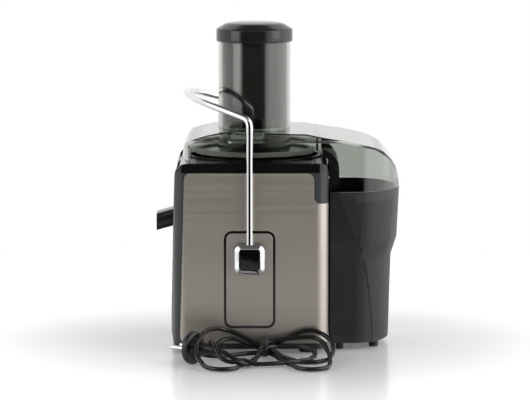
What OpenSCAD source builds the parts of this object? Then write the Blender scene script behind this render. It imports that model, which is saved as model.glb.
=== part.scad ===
// Centrifugal juicer: motor housing with a lift-out juice bowl and sieve, a clear lid with a
// wide feed tube, a swinging locking arm and a pulp bin behind. Millimetres, +Z up.
// -X is the front with the spout, +X is the rear with the pulp bin.

/* [Housing] */
// Width of the housing, side face to side face
housing_w = 210; // [196:1:256]
// Front face to motor axis, at the foot of the housing
front_reach = 100.5; // [97:0.5:125]
// Rear face to motor axis
rear_reach = 87.6; // [86:0.2:106]
// Height of the deck that the bowl and the lid sit on
deck_z = 226; // [214:1:272]
// Housing wall
housing_wall = 3; // [2:0.1:3.4]
// How far the front leans back over its height
front_lean = 6.5; // [0:0.5:8]
// Rounding of the vertical corners
corner_r = 15; // [10:1:20]
// Thickness of the steel side sheets
sheet_t = 0.8; // [0.6:0.1:1.2]
// Height of the glossy top cover
cover_h = 11; // [9:0.5:14]

/* [Feet] */
// Height of the rubber feet
foot_h = 5.5; // [4:0.5:6]
// Diameter of the rubber feet
foot_d = 22; // [16:1:26]

/* [Bowl and sieve] */
// Inside radius of the well in the top cover
well_r = 80.5; // [67:0.1:83]
// Gap between the well and the juice bowl
bowl_gap = 1; // [0.6:0.1:2]
// Wall of the juice bowl
bowl_wall = 2.5; // [2:0.1:3]
// Gap between the sieve basket's rim and the bowl
basket_gap = 5; // [4:0.1:8]
// Radius of the grating disc
disc_r = 40; // [33:1:46]
// Reach of the spout in front of the motor axis
spout_reach = 118; // [110:1:142]
// Outside width of the spout
spout_w = 40; // [30:1:48]

/* [Lid] */
// Wall of the lid
lid_wall = 3; // [2:0.1:3.4]
// Height of the lid's roof over the deck, beside the feed tube
lid_h = 34; // [28:0.5:41]
// Outside radius of the feed tube
tube_r = 43.3; // [36:0.1:52]
// Wall of the feed tube
tube_wall = 3; // [2:0.1:3.5]
// Height of the feed tube's mouth over the lid's roof
tube_h = 103; // [85:1:124]

/* [Pusher] */
// Gap between the pusher and the feed tube
pusher_gap = 2.4; // [1:0.1:4]
// How far the pusher's cap stands out over the feed tube
cap_over = 2.7; // [1:0.1:6]
// Height of the pusher's cap
cap_h = 24; // [18:1:30]

/* [Pulp bin] */
// Rearmost point of the bin and the lid
bin_reach = 175; // [168:1:210]
// How far the bin's sides lie inside the lid's
bin_inset = 4; // [3:0.1:10]
// How far the bin's rim lies below the deck
bin_rim_drop = 36.5; // [33:0.5:44]
// Wall of the bin
bin_wall = 2.5; // [2:0.1:3]

/* [Locking arm] */
// Diameter of the arm's rod
rod_d = 8; // [6:0.1:9.6]
// Gap between the arm's rod and the housing
arm_gap = 1; // [0.6:0.1:4]
// Height of the arm's pivot
pivot_z = 113.5; // [108:0.5:125]
// Height of the arm's bends over the lid's roof
bend_h = 17.6; // [16.5:0.1:30]
// Radius of the arm's loop round the feed tube
loop_r = 80; // [76:0.5:90]
// Size of the square clamps at the pivot
clamp_s = 35; // [29:0.5:42]

/* [Drive] */
// Diameter of the motor shaft
shaft_d = 8; // [6:0.5:10]
// Radius of the motor's laminated stator
stator_r = 42; // [36:0.5:51]

/* [Mains lead] */
// Diameter of the mains lead
cord_d = 5.4; // [4.5:0.1:6]

/* [Hidden] */

// The middle of the whole length stands over the origin.
motor_x = -(bin_reach - spout_reach) / 2;
half_w = housing_w / 2;
side_gap = 0.3;             // sheets and plates in their recesses
move_gap = 0.4;             // parts that move past each other
fit_gap = 0.05;             // shafts in their bearings
eps = 0.01;                 // overlap that makes a cut clean
$fn = 64;

foot_z = foot_h;
plate_t = 3.5;              // base plate
body_z = foot_z + plate_t;  // lower edge of the housing
cover_z = deck_z - cover_h; // lower edge of the top cover
band_gap = 0.5;             // gap between the cover and the side sheets
well_wall = 2;
well_t = 3;                 // floor of the well
well_depth = 93;
well_z = deck_z - well_depth; // top of the well's floor
notch_half_w = spout_w / 2 + 4;

bowl_r = well_r - bowl_gap;
bowl_z = well_z + 6;        // underside of the bowl
bowl_t = 3;
bowl_top = deck_z + 1.5;
bowl_lip = 1.1;             // how far the bowl's flange lies on the deck
apron_gap = 0.8;            // bowl's apron in the housing's notch
spout_h = 21;
spout_r = 8;                // rounding of the spout's long edges
spout_tip_z = well_z + 2.5; // lower edge of the spout's end
spout_slope = 0.28;
spout_wall = 2.5;

coupling_r = 12;
coupling_h = 18;
hub_gap = 0.4;
hub_wall = 3.5;
hub_z = well_z + 8;
disc_z = hub_z + 15;
disc_t = 3;
sieve_t = 0.8;
basket_z = deck_z + 4;      // underside of the basket's rim
basket_h = 5;
basket_r = bowl_r - bowl_wall - basket_gap;

lid_half_w = well_r + bowl_lip + move_gap + lid_wall;
lid_gap = 0.4;              // lid over the deck and over the bin
lid_front = lid_half_w + 1;
lid_top_z = deck_z + lid_h;
lid_skirt_x = rear_reach + 1.2;
lid_flat_x = bin_reach - 56; // where the lid's rounded rear begins
lid_bow = 8;                // how far the lid's front face bows out
bevel_in = 12;              // bevel along the lid's sides

tube_top_z = lid_top_z + tube_h;
cap_z = tube_top_z + move_gap;
cap_r = tube_r + cap_over;
pusher_r = tube_r - tube_wall - pusher_gap + 0.8;
pusher_z = lid_top_z + 1;

bin_front = rear_reach + 2.2;
bin_half_w = lid_half_w - bin_inset;
bin_rim_z = deck_z - bin_rim_drop;
bin_z = 8;                  // underside of the bin
bin_foot_h = bin_z;
lid_rear_z = bin_rim_z + lid_gap;

arm_x = -5.4;
arm_half_w = half_w + arm_gap + rod_d / 2;
bend_z = lid_top_z + bend_h;
arm_slope = 0.32;           // the loop rises towards the front
arm_bend_r = 9;
clamp_t = 12;
clamp_y = half_w + 0.6;     // inner face of the clamps
clamp_r = 6;
inlay_s = clamp_s - 10;
inlay_t = 2;
inlay_depth = 1.2;
pin_d = 10;
bush_d = 15;
arm_stem = clamp_s / 2 - pin_d / 2 - 0.8; // how deep the legs sit in the clamps

plate_x0 = -32.8;
plate_x1 = 22;
plate_z0 = 33.5;
plate_z1 = pivot_z + 30;
plate_r = 7;
groove_w = 3;

sheet_x0 = -87.5;             // front edge of the side sheet at its foot
sheet_x1 = -82.5;             // and at its top
sheet_top = cover_z - band_gap;
step_x = rear_reach - 22; // step in the sheet's top edge, below the lid
step_z = deck_z - 47.5;
step_r = 8;
wrap_w = 20;                // how far the sheet wraps onto the rear face

function arc(c, r, a0, a1, n) =
  [for (i = [0:n]) let (a = a0 + (a1 - a0) * i / n) [c[0] + r * cos(a), c[1] + r * sin(a)]];
function rounded(x0, y0, x1, y1, r, n = 8) = concat(
  arc([x1 - r, y1 - r], r, 0, 90, n), arc([x0 + r, y1 - r], r, 90, 180, n),
  arc([x0 + r, y0 + r], r, 180, 270, n), arc([x1 - r, y0 + r], r, 270, 360, n));
function unit(v) = v / norm(v);

// Moves a piece from the motor's axis to the middle of the whole length.
module placed() { translate([motor_x, 0, 0]) children(); }
// Extrudes an outline drawn in X and Z along Y, and one drawn in Y and Z along X.
module along_y(y0, y1) {
  translate([0, y1, 0]) rotate([90, 0, 0]) linear_extrude(y1 - y0) children();
}
module along_x(x0, x1) {
  translate([x0, 0, 0]) rotate([90, 0, 90]) linear_extrude(x1 - x0) children();
}
module tube_ring(r_out, r_in, z0, z1) {
  difference() {
    translate([0, 0, z0]) cylinder(r = r_out, h = z1 - z0);
    translate([0, 0, z0 - 1]) cylinder(r = r_in, h = z1 - z0 + 2);
  }
}
module box_at(x0, x1, y0, y1, z0, z1) {
  translate([x0, y0, z0]) cube([x1 - x0, y1 - y0, z1 - z0]);
}
module rod_y(r, x, z, y0, y1) {
  translate([x, y1, z]) rotate([90, 0, 0]) cylinder(r = r, h = y1 - y0);
}

// A round tube swept along points, with its rings kept square to the line.
function tangent(p, i) = unit(p[min(i + 1, len(p) - 1)] - p[max(i - 1, 0)]);
function ring(c, t, side, r, sides) =
  let (u = unit(cross(t, side)), v = cross(t, u))
  [for (k = [0:sides - 1]) c + r * (cos(360 * k / sides) * u + sin(360 * k / sides) * v)];
module swept_tube(p, r, sides, side = [0, 0, 1]) {
  n = len(p);
  pts = [for (i = [0:n - 1]) each ring(p[i], tangent(p, i), side, r, sides)];
  walls = [for (i = [0:n - 2], k = [0:sides - 1])
    [i * sides + k, i * sides + (k + 1) % sides, (i + 1) * sides + (k + 1) % sides,
     (i + 1) * sides + k]];
  polyhedron(pts, concat(walls, [[for (k = [sides - 1:-1:0]) k]],
    [[for (k = [0:sides - 1]) (n - 1) * sides + k]]), convexity = 6);
}

// ---- Housing ----
// The housing's outline in plan and from the side, shrunk by d on every face.
function plan_outline(d) =
  let (r = corner_r - d, w = half_w - d, xr = rear_reach - d, xf = front_reach - d, bow = 5)
  concat(arc([xr - r, w - r], r, 0, 90, 8),
    [for (i = [0:8]) let (a = 90 + 80 * i / 8) [-xf + bow + r + r * cos(a), w - r + r * sin(a)]],
    [for (i = [1:7]) let (t = 1 - i / 4) [-xf + bow * t * t, (w - r) * t]],
    [for (i = [0:8]) let (a = 190 + 80 * i / 8) [-xf + bow + r + r * cos(a), -w + r + r * sin(a)]],
    arc([xr - r, -w + r], r, 270, 360, 8));
function side_outline(d, z0, z1) =
  let (r = corner_r - d, rt = 9 - d, top = -front_reach + front_lean + d, foot = -front_reach + d)
  [for (q = concat(arc([rear_reach - d - rt, z1 - d - rt], rt, 0, 90, 6),
      arc([top + r, z1 - d - r], r, 90, 179, 8),
      arc([foot + r, z0 + d + r], r, 181, 270, 8),
      arc([rear_reach - d - 5, z0 + d + 5], 5, 270, 360, 4))) q];
module body_solid(d, z0, z1) {
  intersection() {
    along_y(-half_w, half_w) polygon(side_outline(d, z0, z1));
    translate([0, 0, z0 - 1]) linear_extrude(z1 - z0 + 2) polygon(plan_outline(d));
  }
}
// Where the sheet lies on the side, grown by g.
module sheet_region(g) {
  polygon(concat(
    arc([sheet_x1 + 7, sheet_top - 7], 7 + g, 90, 180, 6),
    arc([sheet_x0 + 9, body_z + 12], 9 + g, 180, 250, 5),
    [[rear_reach + 2, body_z + 3.6 - g], [rear_reach + 2, step_z + g]],
    arc([step_x + step_r + 5, step_z + step_r], step_r - g, 270, 180, 5),
    arc([step_x - step_r + 5, sheet_top - step_r], step_r + g, 0, 90, 5)));
}
module sheet_space(side, g, depth) {
  difference() {
    intersection() {
      body_solid(0, body_z, deck_z);
      along_y(side > 0 ? half_w - wrap_w : -half_w - 1, side > 0 ? half_w + 1 : wrap_w - half_w)
        sheet_region(g);
    }
    body_solid(depth, body_z - 40, deck_z + 40);
  }
}
module front_notch(g) {
  box_at(-front_reach - 5, -bowl_r + 12, -notch_half_w - g, notch_half_w + g, well_z - 2 - g,
    deck_z + 1);
}
module housing() placed() color("#4a4d51") difference() {
  intersection() {
    body_solid(0, body_z, deck_z);
    box_at(-200, 200, -200, 200, body_z, cover_z);
  }
  intersection() {
    body_solid(housing_wall, body_z - 40, deck_z + 40);
    box_at(-200, 200, -200, 200, body_z - 1, cover_z + 1);
  }
  for (side = [-1, 1]) sheet_space(side, side_gap, sheet_t);
  front_notch(0);
  for (side = [-1, 1]) rod_y(bush_d / 2, arm_x, pivot_z, side > 0 ? half_w - 20 : -half_w - 1,
    side > 0 ? half_w + 1 : 20 - half_w);
  box_at(-front_reach - 5, -front_reach + 20, -rocker_w / 2 - 2, rocker_w / 2 + 2,
    rocker_z - rocker_h / 2 - 2, rocker_z + rocker_h / 2 + 2);
  translate([relief_x, 1 - half_w, relief_z]) rotate([90, 0, 0]) cylinder(d = relief_neck_d, h = 20);
}
module side_panel(side) color("#b9b4ab") difference() {
  sheet_space(side, 0, sheet_t);
  along_y(side > 0 ? half_w - 9 : -half_w - 1, side > 0 ? half_w + 1 : 9 - half_w)
    polygon(rounded(plate_x0 - groove_w, plate_z0 - groove_w, plate_x1 + groove_w,
      plate_z1 + groove_w, plate_r + groove_w));
  if (side < 0) translate([relief_x, 1 - half_w, relief_z]) rotate([90, 0, 0])
    cylinder(d = relief_neck_d, h = 20);
}
module side_panel_near() placed() side_panel(-1);
module side_panel_far() placed() side_panel(1);
module arm_plate(side) color("#b9b4ab") difference() {
  along_y(side > 0 ? half_w - sheet_t : -half_w, side > 0 ? half_w : sheet_t - half_w)
    polygon(rounded(plate_x0, plate_z0, plate_x1, plate_z1, plate_r));
  rod_y(bush_d / 2 + side_gap, arm_x, pivot_z, -half_w - 1, half_w + 1);
}
module arm_plate_near() placed() arm_plate(-1);
module arm_plate_far() placed() arm_plate(1);
module pivot_bush(side) color("#d8d2bf") difference() {
  rod_y(bush_d / 2, arm_x, pivot_z, side > 0 ? half_w - 9 : 0.2 - half_w,
    side > 0 ? half_w - 0.2 : 9 - half_w);
  rod_y(pin_d / 2 + fit_gap, arm_x, pivot_z, -half_w - 1, half_w + 1);
}
module pivot_bush_near() placed() pivot_bush(-1);
module pivot_bush_far() placed() pivot_bush(1);

module top_cover() placed() color("#101113") {
  difference() {
    intersection() {
      body_solid(0, body_z, deck_z);
      box_at(-200, 200, -200, 200, cover_z, deck_z + 1);
    }
    translate([0, 0, cover_z - 1]) cylinder(r = well_r, h = cover_h + 2);
    intersection() {
      body_solid(housing_wall, body_z - 40, deck_z + 40);
      difference() {
        box_at(-200, 200, -200, 200, cover_z - 1, deck_z - housing_wall);
        translate([0, 0, cover_z - 2]) cylinder(r = well_r + well_wall, h = cover_h + 4);
      }
    }
    front_notch(0);
    translate([interlock_x, interlock_y, cover_z - 1]) cylinder(d = plunger_d + 2 * side_gap, h = 20);
  }
  difference() {
    tube_ring(well_r + well_wall, well_r, well_z - well_t, deck_z - 1);
    front_notch(0);
  }
  difference() {
    translate([0, 0, well_z - well_t]) cylinder(r = well_r + well_wall, h = well_t);
    translate([0, 0, well_z - well_t - 1]) cylinder(d = seal_d, h = well_t + 2);
    for (a = [45:90:315]) rotate(a) translate([bush_ring_r, 0, well_z - well_t - 1])
      cylinder(d = 3.2, h = well_t + 2);
  }
}

// ---- Base ----
module base_plate() placed() color("#2e3033") difference() {
  intersection() {
    translate([0, 0, foot_z]) linear_extrude(plate_t) polygon(plan_outline(plate_in));
    box_at(-200, 200, -200, 200, foot_z, body_z);
  }
  for (a = [-1, 1], i = [0:8]) box_at(-40 + i * 9, -36 + i * 9, a * 34 - 16, a * 34 + 16,
    foot_z - 1, body_z + 1);
  for (x = [-1, 1], y = [-1, 1]) translate([x * screw_x, y * screw_y, foot_z - 1])
    cylinder(d = screw_d, h = plate_t + 2);
}
plate_in = 1.5;             // base plate inside the housing's outline
foot_x = 70;
foot_y = half_w - 22;
screw_x = 47;
screw_y = half_w - 24;
screw_d = 4;
module rubber_feet() placed() color("#1c1c1c") for (x = [-1, 1], y = [-1, 1])
  translate([x * foot_x - 6, y * foot_y, 0]) cylinder(d = foot_d, h = foot_h);
module base_screws() placed() color("#8e9094") for (x = [-1, 1], y = [-1, 1])
  translate([x * screw_x, y * screw_y, 0]) {
    translate([0, 0, foot_z - 2]) cylinder(d = 7.5, h = 2);
    translate([0, 0, foot_z - 0.5]) cylinder(d = screw_d, h = 12);
  }

// ---- Motor ----
// The motor hangs from the well's floor on four rubber bushes.
bore_gap = 0.6;
armature_r = 24;
stator_h = 50;
coil_h = 6;                 // ends of the field coils
coil_x = stator_r - 10.5;
leg_x = stator_r - 5.8;     // brackets' legs, beside the coils
bracket_t = 9;
bush_ring_r = 34;
bush_z = well_z - well_t - 20;
upper_z = bush_z - 4;
stator_z1 = upper_z - 8;
stator_z0 = stator_z1 - stator_h;
lower_z = stator_z0 - 24;
module motor_stator() placed() color("#6d6f73") {
  difference() {
    translate([0, 0, stator_z0]) intersection() {
      cylinder(r = stator_r, h = stator_z1 - stator_z0);
      translate([-stator_r + 3, -stator_r + 3, 0])
        cube([2 * stator_r - 6, 2 * stator_r - 6, stator_z1 - stator_z0]);
    }
    translate([0, 0, stator_z0 - 1]) cylinder(r = armature_r + bore_gap, h = stator_z1);
  }
  for (s = [-1, 1], z = [stator_z0 - coil_h, stator_z1])
    translate([s * coil_x - 4, -17, z]) cube([8, 34, coil_h]);
}
module bracket(z, up) {
  difference() {
    union() {
      translate([0, 0, z]) cylinder(r = 14, h = bracket_t);
      translate([-stator_r, -11, z]) cube([2 * stator_r, 22, 4]);
      for (s = [-1, 1]) translate([s > 0 ? leg_x : -leg_x - 5, -8, up ? stator_z1 : z])
        cube([5, 16, up ? z - stator_z1 : stator_z0 - z]);
      if (up) for (a = [45:90:315]) rotate(a) translate([10, -5, z]) cube([bush_ring_r - 4, 10, 4]);
    }
    translate([0, 0, z - 1]) cylinder(r = shaft_d / 2 + fit_gap, h = bracket_t + 2);
  }
}
module motor_bracket_upper() placed() color("#a9abae") bracket(upper_z, true);
module motor_bracket_lower() placed() color("#a9abae") bracket(lower_z, false);
module motor_bushes() placed() color("#202020") for (a = [45:90:315]) rotate(a)
  translate([bush_ring_r, 0, bush_z]) cylinder(d = 11, h = well_z - well_t - bush_z);
module motor_shaft() placed() color("#c9cbce")
  translate([0, 0, lower_z - 8]) cylinder(d = shaft_d, h = well_z + 6 - lower_z + 8);
module armature() placed() color("#9a6a3c") difference() {
  translate([0, 0, stator_z0 - 2]) cylinder(r = armature_r, h = stator_z1 - stator_z0 + 4);
  cylinder(d = shaft_d, h = well_z);
}
module commutator() placed() color("#b87333") difference() {
  translate([0, 0, lower_z + bracket_t + 0.8]) cylinder(r = 11, h = 11);
  cylinder(d = shaft_d, h = well_z);
}
module cooling_fan() placed() color("#55585c") difference() {
  translate([0, 0, lower_z - 8]) union() {
    cylinder(r = 30, h = 1.6);
    cylinder(r = 8, h = 7.4);
    for (a = [0:36:324]) rotate(a) translate([9, -0.8, 0]) cube([20, 1.6, 7]);
  }
  cylinder(d = shaft_d, h = well_z);
}
module carbon_brushes() placed() color("#3c3c3e") for (s = [-1, 1])
  translate([s > 0 ? 11.4 : -34, -4, lower_z + bracket_t + 1]) cube([22.6, 8, 7.4]);
module drive_coupling() placed() color("#e6e3da") difference() {
  translate([0, 0, well_z + 0.6]) union() {
    cylinder(r = coupling_r - 2, h = coupling_h);
    for (a = [0:60:300]) rotate(a) translate([coupling_r - 4, -2, 0]) cube([4, 4, coupling_h]);
  }
  cylinder(d = shaft_d, h = well_z + 6);
}
seal_d = 22;
module shaft_seal() placed() color("#202020")
  tube_ring(seal_d / 2, shaft_d / 2 + 0.3, well_z - well_t, well_z);

// ---- Switches ----
interlock_x = 60;
interlock_y = -(lid_half_w - lid_wall / 2);
plunger_d = 2.4;
plunger_h = 26;
module interlock_plunger() placed() color("#e6e3da")
  translate([interlock_x, interlock_y, deck_z - plunger_h]) cylinder(d = plunger_d, h = plunger_h);
module interlock_switch() placed() color("#202225") {
  box_at(interlock_x - 10, interlock_x + 10, interlock_y - 3.5, interlock_y + 3.5,
    deck_z - plunger_h - 12.4, deck_z - plunger_h - 0.4);
  box_at(interlock_x + 10, interlock_x + 12, interlock_y - 3.5, interlock_y + 3.5,
    deck_z - plunger_h - 12.4, deck_z - housing_wall);
}
rocker_z = 78;
rocker_w = 30;
rocker_h = 22;
rocker_deep = 16;           // depth of the rocker's frame
rocker_x = -front_reach + front_lean * (rocker_z - body_z) / (deck_z - body_z);
module rocker_frame() placed() color("#101113") difference() {
  box_at(rocker_x + 0.2, rocker_x + rocker_deep, -rocker_w / 2 - 2, rocker_w / 2 + 2,
    rocker_z - rocker_h / 2 - 2, rocker_z + rocker_h / 2 + 2);
  box_at(rocker_x - 1, rocker_x + rocker_deep + 1, -rocker_w / 2 + 0.6, rocker_w / 2 - 0.6,
    rocker_z - rocker_h / 2 + 0.6, rocker_z + rocker_h / 2 - 0.6);
}
module rocker_button() placed() color("#25272a") intersection() {
  rod_y(rocker_h / 2 - 1.4, rocker_x + 9, rocker_z, -rocker_w / 2 + 1.2, rocker_w / 2 - 1.2);
  box_at(rocker_x + 0.9, rocker_x + 12, -rocker_w / 2, rocker_w / 2, rocker_z - rocker_h / 2,
    rocker_z + rocker_h / 2);
}
module speed_switch() placed() color("#202225")
  box_at(rocker_x + rocker_deep, rocker_x + rocker_deep + 20, -rocker_w / 2, rocker_w / 2,
    rocker_z - 12, rocker_z + 12);
module suppressor_board() placed() color("#2f6b46") {
  box_at(-30, 30, half_w - 24, half_w - 22.4, body_z, body_z + 50);
  box_at(-22, -4, half_w - 36, half_w - 24, body_z + 10, body_z + 36);
  translate([12, half_w - 24, body_z + 24]) rotate([90, 0, 0]) cylinder(d = 16, h = 13);
}

// ---- Bowl ----
// The spout as a sloping bar with rounded edges, t inside its outer face.
module spout_bar(t, reach) {
  translate([-spout_reach, 0, spout_tip_z]) rotate([0, -atan(spout_slope), 0])
    along_x(-20, reach) polygon(rounded(-spout_w / 2 + t, t, spout_w / 2 - t,
      spout_h * cos(atan(spout_slope)) - t, spout_r - t, 6));
}
module juice_bowl() placed() color("#17181a") {
  difference() {
    union() {
      translate([0, 0, bowl_z]) cylinder(r = bowl_r, h = bowl_top - bowl_z);
      tube_ring(well_r + bowl_lip, bowl_r - 1, deck_z + 0.2, bowl_top);
      intersection() {
        body_solid(apron_gap, body_z, deck_z + apron_gap);
        box_at(-front_reach, -bowl_r + 14, -notch_half_w + apron_gap, notch_half_w - apron_gap,
          bowl_z - 4, deck_z);
      }
      intersection() {
        spout_bar(0, spout_reach + 10);
        box_at(-spout_reach, -bowl_r + 10, -spout_w, spout_w, spout_tip_z - 10, deck_z);
      }
    }
    translate([0, 0, bowl_z + bowl_t]) cylinder(r = bowl_r - bowl_wall, h = 200);
    intersection() {
      spout_bar(spout_wall, spout_reach + 20);
      box_at(-spout_reach - 20, -bowl_r + 30, -spout_w, spout_w, spout_tip_z - 10, deck_z);
    }
    translate([0, 0, bowl_z - 1]) cylinder(r = hub_hole_r, h = 20);
  }
  tube_ring(hub_hole_r + 2, hub_hole_r, bowl_z, bowl_z + bowl_t + 6);
}
hub_hole_r = coupling_r + hub_gap + hub_wall + 3;
chute_half_w = lid_half_w - 25;
chute_wall = 2.5;
chute_x0 = well_r + bowl_lip;
chute_x1 = rear_reach + 13.4;
chute_z1 = deck_z + 14;
chute_r = 27;
chute_foot = bin_rim_z + 3;
module pulp_chute() placed() color("#1b1d1c") {
  cheek = concat([[chute_x0, bowl_top]], [[chute_x0, chute_z1 - 1.4]],
    arc([chute_x1 - chute_r, chute_z1 - chute_r], chute_r, 66, 0, 8), [[chute_x1, chute_foot],
    [lid_skirt_x + 1, chute_foot], [lid_skirt_x + 1, bowl_top]]);
  for (s = [-1, 1]) along_y(s > 0 ? chute_half_w - chute_wall : -chute_half_w,
    s > 0 ? chute_half_w : chute_wall - chute_half_w) polygon(cheek);
  lip_r = 12;
  along_y(-chute_half_w + 2, chute_half_w - 2) polygon(concat(
    [[chute_x0, bowl_top], [chute_x0, bowl_top + chute_wall]],
    arc([lid_skirt_x, bowl_top + chute_wall - lip_r], lip_r, 90, 0, 6),
    [[lid_skirt_x + lip_r, chute_foot], [lid_skirt_x + lip_r - chute_wall, chute_foot]],
    arc([lid_skirt_x, bowl_top + chute_wall - lip_r], lip_r - chute_wall, 0, 90, 6)));
}

// ---- Sieve basket ----
module sieve_cone() placed() color("#c4c6c8") rotate_extrude()
  polygon([[disc_r - 1, disc_z], [disc_r + sieve_t, disc_z], [basket_r - 5, basket_z + 1],
    [basket_r - 5 - sieve_t, basket_z + 1]]);
module basket_rim() placed() color("#e6e6e3")
  rotate_extrude() polygon([[basket_r - 5, basket_z], [basket_r, basket_z],
    [basket_r, basket_z + basket_h], [basket_r - 6.5, basket_z + basket_h],
    [basket_r - 6.5, basket_z + 1], [basket_r - 5, basket_z + 1]]);
module grating_disc() placed() color("#c4c6c8") {
  tube_ring(disc_r - 1, 6, disc_z, disc_z + disc_t - 1.8);
  for (ring_r = [14:6:34]) for (a = [0:30:330]) rotate(a + ring_r * 4)
    translate([ring_r, -1.5, disc_z + 0.6]) cube([2, 3, disc_t - 0.6]);
}
module basket_hub() placed() color("#e6e6e3") difference() {
  union() {
    translate([0, 0, hub_z]) cylinder(r = coupling_r + hub_gap + hub_wall, h = disc_z - hub_z);
    translate([0, 0, disc_z - 2]) cylinder(r = disc_r - 2, h = 2);
    translate([0, 0, disc_z - 1]) cylinder(r = 5.9, h = 6);
  }
  translate([0, 0, hub_z - 1]) cylinder(r = coupling_r + hub_gap, h = disc_z - hub_z - 3);
}

// ---- Lid ----
// The lid's outline from the side, t inside the outer face: its front counts from the front
// face, its rear from the rearmost point, and both from the height of the roof.
lid_nose = [[1.6, -20], [4, -14], [8, -10], [18, -6.6], [31, -3], [48, 0]];
lid_tail = [[-113, -2], [-91, -6], [-71, -9], [-48, -13.4], [-32, -18], [-22, -23], [-12, -34],
  [-6, -44.4], [-2.5, -58]];
function lid_side(t) = concat(
  [[-lid_front + t, deck_z - 20], [-lid_front + t, deck_z + 3]],
  [for (q = lid_nose) [-lid_front + q[0] + (q[0] < 9 ? t : 0), lid_top_z + q[1] - (q[0] > 3 ? t : 0)]],
  [for (q = lid_tail) [bin_reach + q[0] - (q[0] > -25 ? t : 0), lid_top_z + q[1] - (q[0] < -15 ? t : 0)]],
  [[bin_reach - t, bin_rim_z], [bin_reach - t, bin_rim_z - 30]]);
function lid_plan(t) = let (w = lid_half_w - t, e = bin_reach - lid_flat_x - t) concat(
  [for (i = [0:24]) let (a = 90 - 180 * i / 24) [lid_flat_x + e * cos(a), w * sin(a)]],
  [[-lid_front + lid_bow + t / 2, -w]],
  [for (i = [1:7]) let (u = i / 4 - 1) [-lid_front + t + lid_bow * u * u, w * u]],
  [[-lid_front + lid_bow + t / 2, w]]);
function lid_end(t) = let (edge_z = lid_top_z - 9 - t, roof_z = lid_top_z + 1 - t) [
  [-lid_half_w + t, bin_rim_z - 40], [lid_half_w - t, bin_rim_z - 40], [lid_half_w - t, edge_z],
  [lid_half_w - bevel_in - t / 2, roof_z], [-lid_half_w + bevel_in + t / 2, roof_z],
  [-lid_half_w + t, edge_z]];
module lid_solid(t, z0) {
  intersection() {
    along_y(-lid_half_w - 1, lid_half_w + 1) polygon(lid_side(t));
    translate([0, 0, z0]) linear_extrude(lid_top_z + 20 - z0) polygon(lid_plan(t));
    along_x(-lid_front - 5, bin_reach + 5) polygon(lid_end(t));
  }
}
hump_z = lid_top_z + 14;    // the humps that the arm's legs press on
hump_w = 16;
hump_wall = 2.2;
hump_foot = lid_top_z - 10;
// A hump's outline, t inside its outer face.
module lid_hump(side, t) {
  y0 = lid_half_w - 2 - hump_w + t;
  y1 = lid_half_w - 2 - t;
  top = hump_z - t;
  along_y(side > 0 ? y0 : -y1, side > 0 ? y1 : -y0) polygon(concat(
    [[t - 31, hump_foot], [t - 31, hump_z - 12]], arc([-21, hump_z - 10], 10 - t, 170, 90, 5),
    [[-8, top], [8, top + 2], [11.5 - t, top + 1], [12 - t, hump_foot]]));
}
module lid() placed() color("#8d9390", 0.35) difference() {
  union() {
    lid_solid(0, lid_rear_z);
    translate([0, 0, deck_z - 8]) cylinder(r = tube_r, h = tube_top_z - deck_z + 8);
    for (side = [-1, 1]) lid_hump(side, 0);
  }
  for (side = [-1, 1]) lid_hump(side, hump_wall);
  difference() {
    lid_solid(lid_wall, lid_rear_z - 40);
    translate([0, 0, deck_z - 8]) cylinder(r = tube_r, h = 200);
  }
  box_at(-200, lid_skirt_x, -200, -tube_r - 1, 100, deck_z + lid_gap);
  box_at(-200, lid_skirt_x, tube_r + 1, 200, 100, deck_z + lid_gap);
  difference() {
    box_at(-200, lid_skirt_x, -tube_r - 2, tube_r + 2, 100, deck_z + lid_gap);
    translate([0, 0, deck_z - 8]) cylinder(r = tube_r, h = 200);
  }
  translate([0, 0, deck_z - 9]) cylinder(r = tube_r - tube_wall, h = 300);
}
lid_rib_x = lid_front - 13;
module lid_rib() placed() color("#8d9390", 0.35) difference() {
  intersection() {
    lid_solid(lid_wall, lid_rear_z);
    box_at(lid_rib_x, lid_rib_x + 2.5, -lid_half_w, lid_half_w, bowl_top + 12, lid_top_z);
  }
  along_x(lid_rib_x - 3, lid_rib_x + 7)
    polygon(rounded(17 - lid_half_w, bowl_top - 20, lid_half_w - 17, lid_top_z - 9.5, 8));
}

// ---- Pusher ----
module pusher_body() placed() color("#7f8581", 0.6) difference() {
  translate([0, 0, pusher_z]) cylinder(r = pusher_r, h = cap_z - pusher_z);
  translate([0, 0, pusher_z + 3]) cylinder(r = pusher_r - 2.6, h = cap_z);
}
module pusher_cap() placed() color("#222426") rotate_extrude() polygon([[0, cap_z],
  [cap_r, cap_z], [cap_r, cap_z + cap_h - 9.6], [cap_r - 1.4, cap_z + cap_h - 8.2],
  [cap_r - 10.5, cap_z + cap_h - 2.8], [cap_r - 18, cap_z + cap_h - 1.2], [0, cap_z + cap_h]]);

// ---- Pulp bin ----
// The bin's half ellipse in plan, with its rearmost point at x.
function bin_plan(x, w, t) = concat([[bin_front + t, -w + t]],
  [for (i = [0:24]) let (a = -90 + 180 * i / 24)
    [lid_flat_x + (x - lid_flat_x - t) * cos(a), (w - t) * sin(a)]], [[bin_front + t, w - t]]);
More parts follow.
